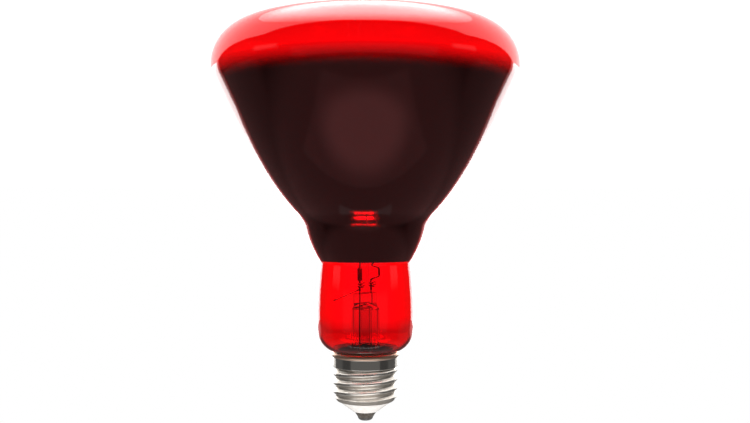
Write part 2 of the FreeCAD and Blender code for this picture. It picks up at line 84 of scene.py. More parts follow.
@dataclass
class Skin:
    """One closed surface as a grid: rows run along it and columns go round it.

    ends holds the two points that close the first and last rows. Without them the last row
    meets the first.
    """

    rows: Array
    ends: Array | None = None

    def faces(self) -> tuple[Array, Array, Array]:
        """Lists the surface's points and faces.

        Returns:
            Points (n, 3), four-sided faces (m, 4) and three-sided faces (k, 3).
        """
        count, around, _ = self.rows.shape
        index = np.arange(count * around).reshape(count, around)
        beside = np.roll(index, -1, axis=1)
        points = self.rows.reshape(-1, 3)
        if self.ends is None:
            above = np.roll(index, -1, axis=0)
            quads = np.stack([index, beside, np.roll(beside, -1, axis=0), above], axis=-1)
            fans = np.empty((0, 3), int)
        else:
            quads = np.stack([index[:-1], beside[:-1], beside[1:], index[1:]], axis=-1)
            foot = np.full(around, len(points))
            top = foot + 1
            fans = np.concatenate([
                np.stack([foot, beside[0], index[0]], axis=-1),
                np.stack([top, index[-1], beside[-1]], axis=-1),
            ])
            points = np.concatenate([points, self.ends])
        return self.outward(points, quads.reshape(-1, 4), fans)

    @staticmethod
    def outward(points: Array, quads: Array, fans: Array) -> tuple[Array, Array, Array]:
        """Turns the faces over where they enclose a negative volume.

        Args:
            points: Points of the surface.
            quads: Four-sided faces.
            fans: Three-sided faces.

        Returns:
            The points, and the faces pointing outwards.
        """
        triangles = np.concatenate([quads[:, [0, 1, 2]], quads[:, [0, 2, 3]], fans])
        corners = points[triangles]
        volume = np.einsum("ij,ij->i", corners[:, 0], np.cross(corners[:, 1], corners[:, 2])).sum()
        if volume < 0:
            return points, quads[:, ::-1], fans[:, ::-1]
        return points, quads, fans


def in_metres(lengths: tuple[float, ...]) -> tuple[float, ...]:
    """Lengths in metres, from millimetres."""
    return tuple(MM * length for length in lengths)


def angles(columns: int) -> Array:
    """Evenly spaced angles of one turn, in radians."""
    return np.linspace(0.0, 2 * math.pi, columns, endpoint=False)


def turned(outline: Array, columns: int) -> Array:
    """Turns an outline about the lamp's axis.

    Args:
        outline: Points (radius, height) of the outline.
        columns: Number of points round the axis.

    Returns:
        Grid of points (r cos a, r sin a, z).
    """
    angle = angles(columns)
    radius = outline[:, :1]
    height = np.broadcast_to(outline[:, 1:], (len(outline), columns))
    return np.stack([radius * np.cos(angle), radius * np.sin(angle), height], axis=-1)


def capped(outline: Array, columns: int) -> Skin:
    """Surface of revolution whose outline starts and ends on the axis.

    Args:
        outline: Points (radius, height) with a radius of 0 at both ends.
        columns: Number of points round the axis.

    Returns:
        The closed surface.
    """
    ends = np.array([[0.0, 0.0, outline[0, 1]], [0.0, 0.0, outline[-1, 1]]])
    return Skin(turned(outline[1:-1], columns), ends)


def tube(path: Array, radius: float, columns: int, across: Array) -> Skin:
    """Round wire along a path.

    A point is path + radius (cos a n + sin a t x n), where t is the path's direction and n is the
    part of a guide direction that is square to it.

    Args:
        path: Points (n, 3) along the wire.
        radius: The wire's radius.
        columns: Number of points round the wire.
        across: Guide direction, or one for each point, that is never along the path.

    Returns:
        The closed surface.
    """
    along = np.gradient(path, axis=0)
    along /= np.linalg.norm(along, axis=1, keepdims=True)
    across = np.broadcast_to(across, path.shape)
    normal = across - along * np.einsum("ij,ij->i", across, along)[:, None]
    normal /= np.linalg.norm(normal, axis=1, keepdims=True)
    binormal = np.cross(along, normal)
    angle = angles(columns)[None, :, None]
    spokes = np.cos(angle) * normal[:, None] + np.sin(angle) * binormal[:, None]
    return Skin(path[:, None] + radius * spokes, path[[0, -1]])


def rounded(corners: list[Triple], step: float) -> Array:
    """Outline through corners, each rounded by a tangent arc.

    Args:
        corners: Radius, height and fillet of each corner; the ends have no fillet.
        step: Longest distance between points.

    Returns:
        Points (radius, height) along the outline.
    """
    places = np.array(corners)[:, :2]
    stretches = []
    start = places[0]
    for before, place, after, corner in zip(places, places[1:], places[2:], corners[1:]):
        fillet = corner[2]
        arriving = (place - before) / np.linalg.norm(place - before)
        leaving = (after - place) / np.linalg.norm(after - place)
        turn = math.atan2(arriving[0] * leaving[1] - arriving[1] * leaving[0], arriving @ leaving)
        setback = fillet * math.tan(abs(turn) / 2)
        arc_start = place - arriving * setback
        spoke = math.copysign(fillet, turn) * np.array([arriving[1], -arriving[0]])
        swing = np.linspace(0.0, turn, math.ceil(abs(turn) * fillet / step) + ARC_POINTS)
        arc = arc_start - spoke + np.stack([
            spoke[0] * np.cos(swing) - spoke[1] * np.sin(swing),
            spoke[0] * np.sin(swing) + spoke[1] * np.cos(swing),
        ], axis=-1)
        stretches += [run(start, arc_start, step), arc[:-1]]
        start = arc[-1]
    stretches += [run(start, places[-1], step), places[-1:]]
    return np.concatenate(stretches)


def run(start: Array, end: Array, step: float) -> Array:
    """Evenly spaced points of a straight run, without its last point.

    Args:
        start: First point.
        end: Last point.
        step: Longest distance between points.

    Returns:
        Points from the start up to the end.
    """
    count = max(1, math.ceil(np.linalg.norm(end - start) / step))
    return start + (end - start) * np.linspace(0.0, 1.0, count, endpoint=False)[:, None]


def smooth_step(value: Array, low: float, high: float) -> Array:
    """Eases from 0 to 1 between two values.

    Args:
        value: What is eased.
        low: Value at which the result is 0.
        high: Value at which the result is 1.

    Returns:
        t t (3 - 2 t), where t is the clipped share of the way.
    """
    share = np.clip((value - low) / (high - low), 0.0, 1.0)
    return share * share * (3 - 2 * share)


# Finishes


def linear(code: str) -> tuple[float, float, float, float]:
    """Turns an sRGB hex colour to linear light by the standard's formula.

    Args:
        code: Six hex digits.

    Returns:
        Red, green, blue and an alpha of 1.
    """
    shares = [int(code[place:place + 2], 16) / 255 for place in (0, 2, 4)]
    light = [share / 12.92 if share <= 0.04045 else ((share + 0.055) / 1.055) ** 2.4 for share in shares]
    return (light[0], light[1], light[2], 1.0)


@dataclass
class Nodes:
    """A node tree, with short ways to add the nodes that finishes and lights share.

    Where a method takes a value, it may be a number, a colour or another node's output.
    """

    tree: bpy.types.NodeTree

    def feed(self, node: bpy.types.Node, inputs: Inputs) -> None:
        """Sets a node's inputs, or links them to outputs.

        Args:
            node: Node to feed.
            inputs: Values by input name or number.
        """
        for name, value in inputs.items():
            if isinstance(value, Socket):
                self.tree.links.new(value, node.inputs[name])
            else:
                node.inputs[name].default_value = value

    def add(self, kind: str, inputs: Inputs, **settings: str) -> bpy.types.Node:
        """Adds a node.

        Args:
            kind: Node type, without ShaderNode.
            inputs: Values by input name or number.
            settings: The node's own settings.

        Returns:
            The new node.
        """
        node = self.tree.nodes.new("ShaderNode" + kind)
        for name, value in settings.items():
            setattr(node, name, value)
        self.feed(node, inputs)
        return node

    def place(self) -> Socket:
        """Object coordinates, in metres."""
        return self.add("TexCoord", {}).outputs["Object"]

    def axes(self, vector: Socket) -> bpy.types.NodeOutputs:
        """A vector's X, Y and Z."""
        return self.add("SeparateXYZ", {"Vector": vector}).outputs

    def attribute(self, name: str) -> Socket:
        """Values of the piece's own mesh, by name."""
        return self.add("Attribute", {}, attribute_name=name).outputs["Fac"]

    def calculated(self, operation: str, *values: object) -> Socket:
        """Result of a calculation on values, in order."""
        return self.add("Math", dict(enumerate(values)), operation=operation).outputs["Value"]

    def vector(self, operation: str, *values: object) -> bpy.types.NodeOutputs:
        """Outputs of a vector calculation: Vector, or Value where it is a number."""
        return self.add("VectorMath", dict(enumerate(values)), operation=operation).outputs

    def remapped(self, value: object, span: Pair, ends: Pair = (0.0, 1.0),
                 easing: Easing = Easing.SMOOTH) -> Socket:
        """Goes from one result to another over a span of a value.

        Args:
            value: What is remapped.
            span: Values where the change starts and stops.
            ends: Results before and after it.
            easing: How it goes from one to the other.

        Returns:
            The result's output.
        """
        inputs = {"Value": value, "From Min": span[0], "From Max": span[1],
                  "To Min": ends[0], "To Max": ends[1]}
        return self.add("MapRange", inputs, interpolation_type=easing.value).outputs["Result"]

    def noise(self, vector: Socket, width: float, detail: float) -> Socket:
        """Soft noise; width is that of its largest blots, and detail counts finer layers."""
        inputs = {"Vector": vector, "Scale": 1 / (width * MM), "Detail": detail}
        return self.add("TexNoise", inputs).outputs["Fac"]

    def toned(self, value: Socket, span: Pair, colours: tuple[str, str]) -> Socket:
        """Goes from one colour to another over a span of a value.

        Args:
            value: What picks the colour.
            span: Values where the change starts and stops.
            colours: Hex colours before and after it.

        Returns:
            The colour's output.
        """
        ramp = self.add("ValToRGB", {"Fac": value})
        for element, position, colour in zip(ramp.color_ramp.elements, span, colours):
            element.position = position
            element.color = linear(colour)
        return ramp.outputs["Color"]

    def mixed(self, share: Socket, first: object, second: object, kind: str = "RGBA") -> Socket:
        """Mixes two values, colours by default: the first at a share of 0, and the second at 1."""
        inputs = {"Factor": share, "A": first, "B": second}
        return self.add("Mix", inputs, data_type=kind).outputs["Result"]

    def raised(self, height: Socket, strength: float, depth: float) -> Socket:
        """Normal of a fine relief; strength is the share of its depth that shows."""
        inputs = {"Height": height, "Strength": strength, "Distance": depth * MM}
        return self.add("Bump", inputs).outputs["Normal"]


@dataclass(frozen=True)
class Finish:
    """What a surface is made of, with the record's slot that it belongs to."""

    name: str
    slot: str
    colour: str
    roughness: float
    metallic: float = 0.0

    def material(self) -> bpy.types.Material:
        """Makes the finish's material, or finds it if it was made before."""
        found = bpy.data.materials.get(self.name)
        if found is not None:
            return found
        made = bpy.data.materials.new(self.name)
        made.use_nodes = True
        nodes = Nodes(made.node_tree)
        shader = made.node_tree.nodes["Principled BSDF"]
        plain = {"Base Color": linear(self.colour), "Roughness": self.roughness, "Metallic": self.metallic}
        nodes.feed(shader, plain)
        nodes.feed(shader, self.pattern(nodes))
        return made

    def pattern(self, nodes: Nodes) -> Inputs:
        """Adds what varies over the surface or in its depth; a plain finish adds nothing.

        Args:
            nodes: The material's nodes.

        Returns:
            Inputs of the surface shader.
        """
        return {}


@dataclass(frozen=True)
class RubyGlass(Finish):
    """Blown soda glass coloured red all through: a clear gloss outside, and a deep red in depth."""

    ior: float = 1.5
    tint: str = "ff1d93"
    density: float = 4400.0
    ripple_width: float = 9.0
    ripple_depth: float = 0.012

    def pattern(self, nodes: Nodes) -> Inputs:
        """Lets light through, keeps only red in the wall, and ripples as blown glass does."""
        depth = nodes.add("VolumeAbsorption", {"Color": linear(self.tint), "Density": self.density})
        nodes.feed(nodes.tree.nodes["Material Output"], {"Volume": depth.outputs["Volume"]})
        ripple = nodes.noise(nodes.place(), self.ripple_width, detail=0.0)
        relief = nodes.raised(ripple, strength=1.0, depth=self.ripple_depth)
        return {"Transmission Weight": 1.0, "IOR": self.ior, "Normal": relief}


@dataclass(frozen=True)
class ClearGlass(Finish):
    """Drawn glass tube and rod, whose low ior shows it as faintly as the photograph does."""

    ior: float = 1.12

    def pattern(self, nodes: Nodes) -> Inputs:
        """Lets light through."""
        return {"Transmission Weight": 1.0, "IOR": self.ior}


@dataclass(frozen=True)
class MirrorFilm(Finish):
    """Vacuum-deposited metal film: bright on the bulb's inside; on its glass side dull, and painted dark
    as shade in place of a bright mirror.

    It thins out over its upper and lower ends. Above the hip, at the front only, it thins to a painted
    highlight: a see-through patch where the red light behind shows.
    """

    inside: str = "e4e2e0"
    inside_roughness: float = 0.06
    upper_fade: Pair = (134.4, 144.8)
    lower_fade: Pair = (64.9, 65.7)
    # Painted highlight: a see-through patch at the front of the film, above the hip, where the light
    # behind it shows red.
    highlight_spot_centre: Triple = (0.0, -27.0, 82.6)
    highlight_spot_reach: Triple = (6.0, 9.0, 3.4)
    highlight_spot_edge: Pair = (0.3, 1.1)
    highlight_spot_cover: float = 0.25

    def pattern(self, nodes: Nodes) -> Inputs:
        """Sets the two sides apart by the piece's own attribute, and thins the film at its ends and in the
        painted highlight's patch.
        """
        side = nodes.attribute("inner_side")
        place = nodes.place()
        height = nodes.axes(place)["Z"]
        upper = nodes.remapped(height, in_metres(self.upper_fade), (1.0, 0.0))
        lower = nodes.remapped(height, in_metres(self.lower_fade))
        # Painted highlight: the film thins in a soft box at the front above the hip.
        highlight_spot_frame = {"Vector": place, "Location": in_metres(self.highlight_spot_centre),
                      "Scale": in_metres(self.highlight_spot_reach)}
        offset = nodes.add("Mapping", highlight_spot_frame, vector_type="TEXTURE").outputs["Vector"]
        away = nodes.axes(nodes.vector("ABSOLUTE", offset)["Vector"])
        reach = nodes.calculated("MAXIMUM", nodes.calculated("MAXIMUM", away["X"], away["Z"]), away["Y"])
        highlight_spot = nodes.remapped(reach, self.highlight_spot_edge, (self.highlight_spot_cover, 1.0))
        both_sides = (self.roughness, self.inside_roughness)
        return {
            # The glass side's dark colour is painted shade.
            "Base Color": nodes.mixed(side, linear(self.colour), linear(self.inside)),
            "Roughness": nodes.remapped(side, (0.0, 1.0), both_sides, Easing.LINEAR),
            "Alpha": nodes.calculated("MULTIPLY", nodes.calculated("MULTIPLY", upper, lower), highlight_spot),
        }


@dataclass(frozen=True)
class DrawnWire(Finish):
    """Drawn wire or plate, dulled by heat: metal with uneven oxide."""

    stain: str = "4a4440"
    stain_width: float = 1.4
    stain_detail: float = 4.0
    stain_span: Pair = (0.35, 0.65)

    def pattern(self, nodes: Nodes) -> Inputs:
        """Mottles the metal with a darker oxide."""
        mottle = nodes.noise(nodes.place(), self.stain_width, self.stain_detail)
        return {"Base Color": nodes.toned(mottle, self.stain_span, (self.stain, self.colour))}


@dataclass(frozen=True)
class PlatedSheet(Finish):
    """Nickel-plated brass sheet, pressed: bright crests, hollows rougher and painted darker as shade, a
    rim tinted with a painted reflection of the red glass, and fine marks.
    """

    # Painted shade: the colour of the thread's hollows, mixed with grime by the noise.
    hollow: str = "cfc5b9"
    inside: str = "2b211a"
    # Painted reflection: the rim's pink tint stands for the red glass mirrored in it.
    rim: str = "f0c8b0"
    rim_roughness: float = 0.35
    hollow_dullness: float = 4.0
    tone_span: Pair = (0.2, 0.8)
    gloss_span: Pair = (0.2, 1.0)
    mark_width: float = 0.25
    mark_depth: float = 0.004
    mark_detail: float = 3.0
    mark_strength: float = 0.5
    mark_stretch: Triple = (0.25, 0.25, 1.0)
    grime_width: float = 2.2
    grime_detail: float = 5.0
    grime_share: float = 0.7

    def pattern(self, nodes: Nodes) -> Inputs:
        """Roughens hollows and rim, paints shade into the hollows and a reflection of the red glass onto
        the rim, by the piece's own attributes, and marks the surface.
        """
        place = nodes.place()
        grime = nodes.noise(place, self.grime_width, self.grime_detail)
        # Grime noise plus painted shade: low in the thread's hollows.
        shade_and_grime = nodes.calculated("MULTIPLY_ADD", grime, self.grime_share, nodes.attribute("crest"))
        rim = nodes.attribute("rim")
        colour = nodes.toned(shade_and_grime, self.tone_span, (self.hollow, self.colour))
        # The rim's tint is a painted reflection of the red glass.
        for zone, other in ((rim, self.rim), (nodes.attribute("inside"), self.inside)):
            colour = nodes.mixed(zone, colour, linear(other))
        dull_to_bright = (self.hollow_dullness * self.roughness, self.roughness)
        gloss = nodes.remapped(shade_and_grime, self.gloss_span, dull_to_bright, Easing.LINEAR)
        roughness = nodes.mixed(rim, gloss, self.rim_roughness, "FLOAT")
        stretched = nodes.add("Mapping", {"Vector": place, "Scale": self.mark_stretch}).outputs["Vector"]
        marks = nodes.noise(stretched, self.mark_width, self.mark_detail)
        relief = nodes.raised(marks, self.mark_strength, self.mark_depth)
        return {"Base Color": colour, "Roughness": roughness, "Normal": relief}


@dataclass(frozen=True)
class CastSurface(Finish):
    """A surface that set from a melt or a paste: solder, opal glass or cement."""

    shade: str = "000000"
    tone_span: Pair = (0.3, 0.7)
    grain_width: float = 1.0
    grain_depth: float = 0.01
    grain_detail: float = 5.0
    grain_strength: float = 0.6
    subsurface: float = 0.0
    subsurface_reach: Triple = (1.0, 1.0, 1.0)

    def pattern(self, nodes: Nodes) -> Inputs:
        """Varies the colour, raises a soft grain and lets light in a little."""
        grain = nodes.noise(nodes.place(), self.grain_width, self.grain_detail)
        return {
            "Base Color": nodes.toned(grain, self.tone_span, (self.shade, self.colour)),
            "Normal": nodes.raised(grain, self.grain_strength, self.grain_depth),
            "Subsurface Weight": self.subsurface,
            "Subsurface Radius": in_metres(self.subsurface_reach),
            "Subsurface Scale": 1.0,
        }


RUBY_GLASS = RubyGlass("ruby_soda_glass", "ruby_glass", WHITE, 0.0)
CLEAR_GLASS = ClearGlass("clear_lead_glass", "clear_glass", "f2f4f0", 0.0)
# Painted shade: the film's glass side gets a dark colour in place of the bright mirror that aluminium is.
MIRROR_FILM = MirrorFilm("aluminium_film", "mirror_film", "513f3e", 0.16, 1.0)
NICKEL_WIRE = DrawnWire("nickel_wire", "nickel_wire", "8c857e", 0.32, 1.0)
COPPER_WIRE = DrawnWire("coppered_sealing_wire", "copper_wire", "b0714c", 0.35, 1.0, stain="6a3f2b")
TUNGSTEN = DrawnWire("tungsten_wire", "tungsten", "77736f", 0.4, 1.0)
CAP_SHELL = PlatedSheet("nickel_plated_brass", "cap_shell", "f2ece4", 0.14, 1.0)
CONTACT_BRASS = DrawnWire("tinned_brass_plate", "contact_brass", "b3aaa0", 0.3, 1.0, stain="8a7f74")
SOLDER = CastSurface("tin_lead_solder", "solder", "b4b2b0", 0.3, 1.0, shade="86827f",
                     grain_width=0.9, grain_depth=0.03)
CAP_GLASS = CastSurface("opal_cap_glass", "cap_glass", "fbf7f3", 0.22, shade="f0e9e2",
                        grain_width=1.8, grain_depth=0.01, subsurface=0.3)
CEMENT = CastSurface("basing_cement", "cement", "4a352a", 0.9, shade="2e211a",
                     grain_width=0.5, grain_depth=0.06)


def show(thing: bpy.types.Object) -> None:
    """Puts an object in the scene."""
    bpy.context.scene.collection.objects.link(thing)


def place_piece(name: str, skin: Skin, finish: Finish, marks: dict[str, Array]) -> None:
    """Makes one piece that stands for the solid of the same name and rides on the lamp's body.

    Args:
        name: The solid's node name; the piece's own name adds an ending to it.
        skin: The piece's surface, in millimetres.
        finish: What it is made of.
        marks: Values for each point, by attribute name.
    """
    points, quads, fans = skin.faces()
    mesh = bpy.data.meshes.new(name + "_look")
    mesh.vertices.add(len(points))
    mesh.vertices.foreach_set("co", (points * MM).astype(np.float32).ravel())
    mesh.loops.add(quads.size + fans.size)
    mesh.loops.foreach_set("vertex_index", np.concatenate([quads.ravel(), fans.ravel()]).astype(np.int32))
    starts = np.concatenate([np.arange(len(quads)) * 4, quads.size + np.arange(len(fans)) * 3])
    mesh.polygons.add(len(starts))
    mesh.polygons.foreach_set("loop_start", starts.astype(np.int32))
    mesh.update(calc_edges=True)
    mesh.shade_smooth()
    mesh.set_sharp_from_angle(angle=SHARP_ANGLE)
    for mark, values in marks.items():
        attribute = mesh.attributes.new(mark, "FLOAT", "POINT")
        attribute.data.foreach_set("value", values.astype(np.float32).ravel())
    mesh.materials.append(finish.material())
    piece = bpy.data.objects.new(name + "_look", mesh)
    show(piece)
    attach(piece, BODY)
    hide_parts(name)
    log.info("%s: %d points, %d faces, %s", piece.name, len(points), len(starts), finish.name)


# The bulb

# Stretches of its outline, counted from the tail: the fillet and the tuck that the cement wets,
# and those with the film, from the crease's upper part to the shoulder's lower part.
UNDERSIDE = slice(0, 2)
MIRRORED = slice(5, 10)


@dataclass(frozen=True)
class Stretch:
    """One stretch of the bulb's outline, between two slopes of the wall's normal.

    A hollow stretch has a negative radius. The reflector has none, because it is a parabola.
    """

    start: Array
    slopes: Pair
    radius: float | None

    @staticmethod
    def normal(slope: Array) -> Array:
        """Outward directions (radius, height) of a wall at the given slopes."""
        turn = np.radians(slope)
        return np.stack([np.cos(turn), np.sin(turn)], axis=-1)

    def end(self) -> Array:
        """Last point of the stretch."""
        return self.points(0.0, np.array([self.slopes[1]]))[0]

    def points(self, inset: float, slope: Array) -> Array:
        """Points at given slopes, moved inwards along the wall's normals.

        An arc is start + R (n(s) - n(s0)). The parabola with focal length f has r = 2 f / tan(-s)
        and z = z0 + (r r - r0 r0) / (4 f).

        Args:
            inset: How far inside the bulb's outer surface the points are.
            slope: Slopes of the wall's normal.

        Returns:
            Points (radius, height).
        """
        if self.radius is None:
            focal = self.start[0] * math.tan(math.radians(-self.slopes[0])) / 2
            radius = 2 * focal / np.tan(np.radians(-slope))
            height = self.start[1] + (radius ** 2 - self.start[0] ** 2) / (4 * focal)
            outer = np.stack([radius, height], axis=-1)
        else:
            outer = self.start + self.radius * (self.normal(slope) - self.normal(np.array(self.slopes[0])))
        return outer - inset * self.normal(slope)

    def sampled(self, inset: float, step: float) -> Array:
        """Points along the whole stretch, without its last one.

        Args:
            inset: How far inside the bulb's outer surface the points are.
            step: Distance between points, which small arcs make shorter.

        Returns:
            Points (radius, height).
        """
        length = np.linalg.norm(self.end() - self.start)
        count = max(STRETCH_POINTS, math.ceil(length / step))
        slope = np.linspace(self.slopes[0], self.slopes[1], count, endpoint=False)
        return self.points(inset, slope)


@dataclass
class Bulb:
    """Blown bulb: crowned face, paraboloid reflector, hip, barrelled neck and tail."""

    tail_radius: float = 11.9
    tail_top: float = 27.0
    diameter: float = 125.0
    wall: float = 0.9
    face_crown_radius: float = 180.0
    shoulder_radius: float = 17.2
    reflector_foot_slope: float = 44.9
    hip_hollow_radius: float = 11.0
    hip_top_slope: float = 16.2
    hip_radius: float = 57.0
    hip_foot_slope: float = 31.8
    crease_radius: float = 3.0
    neck_radius: float = 20.0
    neck_upper_curve: float = 168.0
    neck_top_slope: float = 7.2
    neck_lower_curve: float = 40.0
    neck_foot_slope: float = 10.8
    tuck_radius: float = 8.8
    tail_fillet: float = 1.3
    film_edge_slope: float = 1.5
    film_foot_slope: float = 16.0
    film_gap: float = 0.03
    film_thickness: float = 0.06
    columns: int = 144
    step: float = 0.8
    mouth_tries: int = 30
    outline: list[Stretch] = field(init=False)

    def __post_init__(self) -> None:
        """Works out the outline from the tail up to the face."""
        self.outline = []
        place = np.array([self.tail_radius, self.tail_top])
        for radius, start, end in self.lower_curves():
            place = self.add(place, radius, start, end)
        mouth = -self.mouth_slope(place)
        place = self.add(place, None, -self.reflector_foot_slope, mouth)
        rim = self.diameter / 2 - self.shoulder_radius
        crown = math.degrees(math.acos(rim / (self.face_crown_radius - self.shoulder_radius)))
        place = self.add(place, self.shoulder_radius, mouth, -self.film_edge_slope)
        place = self.add(place, self.shoulder_radius, -self.film_edge_slope, crown)
        self.add(place, self.face_crown_radius, crown, 90.0)

    def add(self, place: Array, radius: float | None, start: float, end: float) -> Array:
        """Adds a stretch to the outline.

        Args:
            place: Where it starts.
            radius: Its radius, or None for the parabola.
            start: Slope of the wall's normal at its start.
            end: Slope at its end.

        Returns:
            Where it ends.
        """
        self.outline.append(Stretch(place, (start, end), radius))
        return self.outline[-1].end()

    def lower_curves(self) -> list[Triple]:
        """Radius and slopes of each curve from the tail up to the reflector's foot."""
        drop = 1 - math.cos(math.radians(self.neck_foot_slope))
        below_tuck = self.neck_radius - self.neck_lower_curve * drop
        reach = self.tuck_radius * (1 - drop) + self.tail_fillet
        share = (self.tail_radius - below_tuck + reach) / (self.tuck_radius + self.tail_fillet)
        tuck = math.degrees(math.acos(share))
        return [
            (-self.tail_fillet, 0.0, -tuck),
            (self.tuck_radius, -tuck, -self.neck_foot_slope),
            (self.neck_lower_curve, -self.neck_foot_slope, 0.0),
            (self.neck_upper_curve, 0.0, self.neck_top_slope),
            (-self.crease_radius, self.neck_top_slope, -self.film_foot_slope),
            (-self.crease_radius, -self.film_foot_slope, -self.hip_foot_slope),
            (self.hip_radius, -self.hip_foot_slope, -self.hip_top_slope),
            (-self.hip_hollow_radius, -self.hip_top_slope, -self.reflector_foot_slope),
        ]

    def mouth_slope(self, foot: Array) -> float:
        """Slope where the parabola meets the shoulder, found by repeated substitution.

        Args:
            foot: Foot of the reflector.

        Returns:
            Slope of the wall, in degrees.
        """
        focal = foot[0] * math.tan(math.radians(self.reflector_foot_slope)) / 2
        mouth = self.diameter / 2
        slope = 0.0
        for _ in range(self.mouth_tries):
            slope = math.atan(2 * focal / mouth)
            mouth = self.diameter / 2 - self.shoulder_radius * (1 - math.cos(slope))
        return math.degrees(slope)

    def profile(self, inset: float, stretches: slice = slice(None)) -> Array:
        """Points of the outline or part of it, moved inwards.

        Args:
            inset: How far inside the bulb's outer surface the points are.
            stretches: Which stretches of the outline.

        Returns:
            Points (radius, height) from the tail upwards.
        """
        chosen = self.outline[stretches]
        last = chosen[-1].points(inset, np.array([chosen[-1].slopes[1]]))
        return np.concatenate([stretch.sampled(inset, self.step) for stretch in chosen] + [last])

    def build(self) -> None:
        """Makes the glass envelope and the film on its inside."""
        self.build_envelope()
        self.build_film()

    def build_envelope(self) -> None:
        """Glass of even wall: down the inside from the face to the tail, and back up outside."""
        tail_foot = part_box("glass_envelope")[0].z / MM
        outer = self.profile(0.0)
        inner = self.profile(self.wall)
        foot = np.array([[self.tail_radius - self.wall, tail_foot], [self.tail_radius, tail_foot]])
        outline = np.concatenate([inner[::-1], foot, outer])
        outline[[0, -1], 0] = 0.0
        place_piece("glass_envelope", capped(outline, self.columns), RUBY_GLASS, {})

    def build_film(self) -> None:
        """Mirror film a hair's breadth inside the glass, from the crease to the shoulder."""
        outer = self.profile(self.wall + self.film_gap, MIRRORED)
        inner = self.profile(self.wall + self.film_gap + self.film_thickness, MIRRORED)
        outline = np.concatenate([outer, inner[::-1]])
        inner_side = np.repeat([0.0, 1.0], [len(outer), len(inner)])
        marks = {"inner_side": np.repeat(inner_side, self.columns)}
        place_piece("reflector_coating", Skin(turned(outline, self.columns)), MIRROR_FILM, marks)


# The mount


@dataclass
class Mount:
    """Glass stem with its wires, whose solids keep their shapes and get their finishes."""

    glass: tuple[str, ...] = ("glass_stem", "exhaust_tube", "support_cane")
    copper: tuple[str, ...] = ("outer_lead_centre", "outer_lead_side", "seal_wire_left", "seal_wire_right")
    nickel: tuple[str, ...] = ("inner_lead_left", "inner_lead_right", "lead_sleeve", "brace_wire",
                               "lead_clamp_left", "lead_clamp_right", "tie_wire_left", "tie_wire_right")

    def build(self) -> None:
        """Dresses the stem's glass and wires."""
        groups = ((self.glass, CLEAR_GLASS), (self.copper, COPPER_WIRE), (self.nickel, NICKEL_WIRE))
        for names, finish in groups:
            for name in names:
                dress(name, finish)


def dress(name: str, finish: Finish) -> None:
    """Gives a solid its finish.

    Args:
        name: The solid's node name.
        finish: What it is made of.
    """
    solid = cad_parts[name]
    solid.data.materials.clear()
    solid.data.materials.append(finish.material())
    log.info("%s: %s", name, finish.name)


@dataclass
class FilamentRing:
    """Coiled tungsten wire in a ring about the reflector's focus, on hooked supports."""

    gap_centre: float = -40.0
    gap_angle: float = 50.0
    wire_radius: float = 0.13
    turns: int = 130
    points_per_turn: int = 14
    wire_columns: int = 6
    supports: int = 5

    def build(self) -> None:
        """Makes the coil, and dresses the supports.

        A point of the coil is (R + c cos w) e(a) + c sin w z, where a runs round the ring, w turns
        round its own centre line, R is the ring's radius and c the coil's.
        """
        low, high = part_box("filament")
        coil = (high.z - low.z) / (2 * MM) - self.wire_radius
        height = (high.z + low.z) / (2 * MM)
        ring = high.x / MM - self.wire_radius - coil
        half_gap = self.gap_angle / 2
        share = np.linspace(0.0, 1.0, self.turns * self.points_per_turn)
        around = np.radians(self.gap_centre + half_gap + share * (360.0 - self.gap_angle))
        winding = 2 * math.pi * self.turns * share
        radial = np.stack([np.cos(around), np.sin(around), np.zeros_like(around)], axis=-1)
        outward = np.cos(winding)[:, None] * radial
        outward[:, 2] = np.sin(winding)
        path = ring * radial + coil * outward
        path[:, 2] += height
        place_piece("filament", tube(path, self.wire_radius, self.wire_columns, outward), TUNGSTEN, {})
        for number in range(self.supports):
            dress("filament_support_" + str(number + 1), TUNGSTEN)


# The cap


